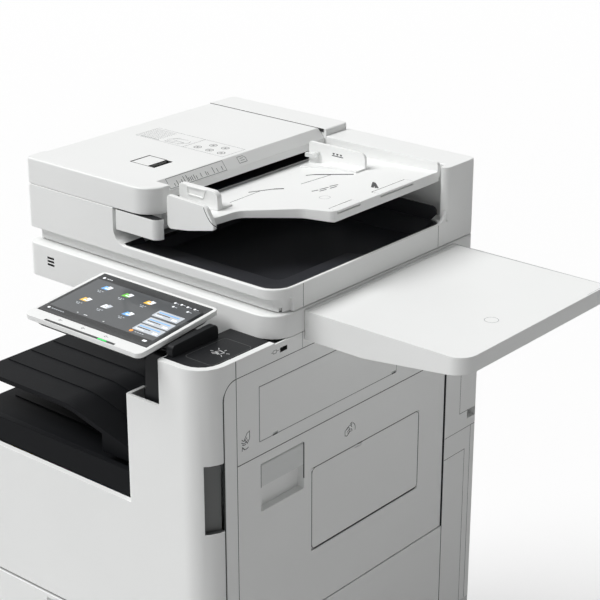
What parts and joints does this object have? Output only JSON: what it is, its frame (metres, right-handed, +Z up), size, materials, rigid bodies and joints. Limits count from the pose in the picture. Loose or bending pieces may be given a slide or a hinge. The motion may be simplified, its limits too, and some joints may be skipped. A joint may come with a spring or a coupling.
{
  "type": "photocopier",
  "caption": "A3 office photocopier with a document feeder over its scanner, a tilting control panel, an in-body output space, paper drawers on a castored pedestal and a side utility tray",
  "frame": {"origin": "on the floor, under the middle of the whole machine", "axes": "+X to the machine's right as its user faces it, +Y to its back, +Z up"},
  "size_m": [0.869, 0.7556, 1.178],
  "materials": {
    "white": "fine texture",
    "grey": "fine texture",
    "grey_metal": "powder coat",
    "steel": "zinc plated",
    "black": "fine texture",
    "dark_grey": "matt",
    "screen": "gloss",
    "platen": "polished",
    "roller": "matt",
    "wheel_rubber": "matt",
    "toner_yellow": "matt",
    "toner_magenta": "matt",
    "toner_cyan": "matt",
    "toner_black": "matt"
  },
  "bodies": {
    "machine": {"pedestal_right_cover": "white", "left_cover": "white", "right_rear_cover": "white", "right_upper_cover": "white", "side_exit_cover": "white", "right_front_cover": "white", "utility_tray": "white", "scanner_housing": "white", "rear_cover": "grey", "pedestal_frame": "grey_metal", "main_frame": "steel", "carriage_rail": "steel", "lid_hinge_left": "steel", "lid_hinge_right": "steel", "pillar_core": "black", "card_reader_plate": "black", "upper_output_tray": "black", "lower_output_tray": "black", "panel_arm": "black", "transfer_belt": "black", "drum_unit": "dark_grey", "fuser_unit": "dark_grey", "platen_glass": "platen", "toner_bottle_1": "toner_yellow", "toner_bottle_2": "toner_magenta", "toner_bottle_3": "toner_cyan", "toner_bottle_4": "toner_black"},
    "lid": {"lid_shell": "white", "output_liner": "black", "platen_pad": "white", "feeder_body": "white", "feeder_rear_cover": "white"},
    "top_cover": {"feeder_cover": "white"},
    "latch": {"cover_latch": "white"},
    "roller": {"feed_roller": "roller"},
    "original_tray": {"document_tray": "white"},
    "front_guide": {"guide_front": "white"},
    "rear_guide": {"guide_rear": "white"},
    "front_stop": {"stop_flap_front": "white"},
    "rear_stop": {"stop_flap_rear": "white"},
    "carriage": {"scan_carriage": "black"},
    "panel": {"panel_bezel": "white", "panel_back": "black", "panel_glass": "screen"},
    "front_door": {"front_cover": "white"},
    "side_door": {"right_door": "white"},
    "hand_feed": {"bypass_tray": "white"},
    "grip": {"door_handle": "grey"},
    "drawer_1": {"cassette_1": "white"},
    "drawer_2": {"cassette_2": "white"},
    "drawer_3": {"cassette_3": "white"},
    "drawer_4": {"cassette_4": "white"},
    "fork_front_left": {"caster_fork_front_left": "steel"},
    "wheel_front_left": {"caster_wheel_front_left": "wheel_rubber"},
    "fork_front_right": {"caster_fork_front_right": "steel"},
    "wheel_front_right": {"caster_wheel_front_right": "wheel_rubber"},
    "fork_rear_left": {"caster_fork_rear_left": "steel"},
    "wheel_rear_left": {"caster_wheel_rear_left": "wheel_rubber"},
    "fork_rear_right": {"caster_fork_rear_right": "steel"},
    "wheel_rear_right": {"caster_wheel_rear_right": "wheel_rubber"}
  },
  "joints": [
    {"name": "lid_hinge", "type": "hinge", "parent": "machine", "child": "lid", "pos_m": [-0.152, 0.35575, 1.0396], "axis": [-1, 0, 0], "range_deg": [0, 70]},
    {"name": "top_cover_hinge", "type": "hinge", "parent": "lid", "child": "top_cover", "pos_m": [-0.4315, 0.04575, 1.1351], "axis": [0, -1, 0], "range_deg": [0, 75]},
    {"name": "latch_pull", "type": "hinge", "parent": "top_cover", "child": "latch", "pos_m": [-0.2752, -0.05925, 1.1753], "axis": [0, -1, 0], "range_deg": [0, 25], "stiffness_Nm_per_rad": 0.05},
    {"name": "roller_spin", "type": "hinge", "parent": "top_cover", "child": "roller", "pos_m": [-0.1785, 0.05575, 1.1506], "axis": [0, 1, 0], "continuous": true},
    {"name": "original_tray_hinge", "type": "hinge", "parent": "lid", "child": "original_tray", "pos_m": [-0.1395, 0.07075, 1.1321], "axis": [0, -1, 0], "range_deg": [0, 20]},
    {"name": "front_guide_slide", "type": "slide", "parent": "original_tray", "child": "front_guide", "axis": [0, 1, 0], "range_m": [0, 0.078]},
    {"name": "rear_guide_slide", "type": "slide", "parent": "original_tray", "child": "rear_guide", "axis": [0, 1, 0], "range_m": [-0.078, 0]},
    {"name": "front_stop_hinge", "type": "hinge", "parent": "original_tray", "child": "front_stop", "pos_m": [0.104, 0.02725, 1.1515], "axis": [0, 1, 0], "range_deg": [0, 100]},
    {"name": "rear_stop_hinge", "type": "hinge", "parent": "original_tray", "child": "rear_stop", "pos_m": [0.104, 0.15325, 1.1515], "axis": [0, 1, 0], "range_deg": [0, 100]},
    {"name": "carriage_slide", "type": "slide", "parent": "machine", "child": "carriage", "axis": [1, 0, 0], "range_m": [0, 0.43]},
    {"name": "panel_tilt", "type": "hinge", "parent": "machine", "child": "panel", "pos_m": [-0.096, -0.3167, 0.98455], "axis": [1, 0, 0], "range_deg": [0, 55]},
    {"name": "front_door_hinge", "type": "hinge", "parent": "machine", "child": "front_door", "pos_m": [-0.152, -0.33525, 0.4883], "axis": [1, 0, 0], "range_deg": [0, 85]},
    {"name": "drawer_1_slide", "type": "slide", "parent": "machine", "child": "drawer_1", "axis": [0, -1, 0], "range_m": [0, 0.43]},
    {"name": "drawer_2_slide", "type": "slide", "parent": "machine", "child": "drawer_2", "axis": [0, -1, 0], "range_m": [0, 0.43]},
    {"name": "drawer_3_slide", "type": "slide", "parent": "machine", "child": "drawer_3", "axis": [0, -1, 0], "range_m": [0, 0.43]},
    {"name": "drawer_4_slide", "type": "slide", "parent": "machine", "child": "drawer_4", "axis": [0, -1, 0], "range_m": [0, 0.43]},
    {"name": "side_door_hinge", "type": "hinge", "parent": "machine", "child": "side_door", "pos_m": [0.1235, 0.27045, 0.64], "axis": [0, 0, 1], "range_deg": [0, 80]},
    {"name": "hand_feed_hinge", "type": "hinge", "parent": "side_door", "child": "hand_feed", "pos_m": [0.1275, 0.05225, 0.594], "axis": [0, 1, 0], "range_deg": [0, 65]},
    {"name": "grip_pull", "type": "hinge", "parent": "side_door", "child": "grip", "pos_m": [0.1265, -0.16575, 0.792], "axis": [0, -1, 0], "range_deg": [0, 20], "stiffness_Nm_per_rad": 0.2},
    {"name": "swivel_front_left", "type": "hinge", "parent": "machine", "child": "fork_front_left", "pos_m": [-0.3595, -0.23225, 0.07], "axis": [0, 0, 1], "continuous": true},
    {"name": "roll_front_left", "type": "hinge", "parent": "fork_front_left", "child": "wheel_front_left", "pos_m": [-0.3595, -0.21825, 0.031], "axis": [1, 0, 0], "continuous": true},
    {"name": "swivel_front_right", "type": "hinge", "parent": "machine", "child": "fork_front_right", "pos_m": [0.0555, -0.23225, 0.07], "axis": [0, 0, 1], "continuous": true},
    {"name": "roll_front_right", "type": "hinge", "parent": "fork_front_right", "child": "wheel_front_right", "pos_m": [0.0555, -0.21825, 0.031], "axis": [1, 0, 0], "continuous": true},
    {"name": "swivel_rear_left", "type": "hinge", "parent": "machine", "child": "fork_rear_left", "pos_m": [-0.3595, 0.26575, 0.07], "axis": [0, 0, 1], "continuous": true},
    {"name": "roll_rear_left", "type": "hinge", "parent": "fork_rear_left", "child": "wheel_rear_left", "pos_m": [-0.3595, 0.27975, 0.031], "axis": [1, 0, 0], "continuous": true},
    {"name": "swivel_rear_right", "type": "hinge", "parent": "machine", "child": "fork_rear_right", "pos_m": [0.0555, 0.26575, 0.07], "axis": [0, 0, 1], "continuous": true},
    {"name": "roll_rear_right", "type": "hinge", "parent": "fork_rear_right", "child": "wheel_rear_right", "pos_m": [0.0555, 0.27975, 0.031], "axis": [1, 0, 0], "continuous": true}
  ],
  "couplings": [
    {"joint": "rear_guide_slide", "follows": "front_guide_slide", "ratio": -1}
  ]
}
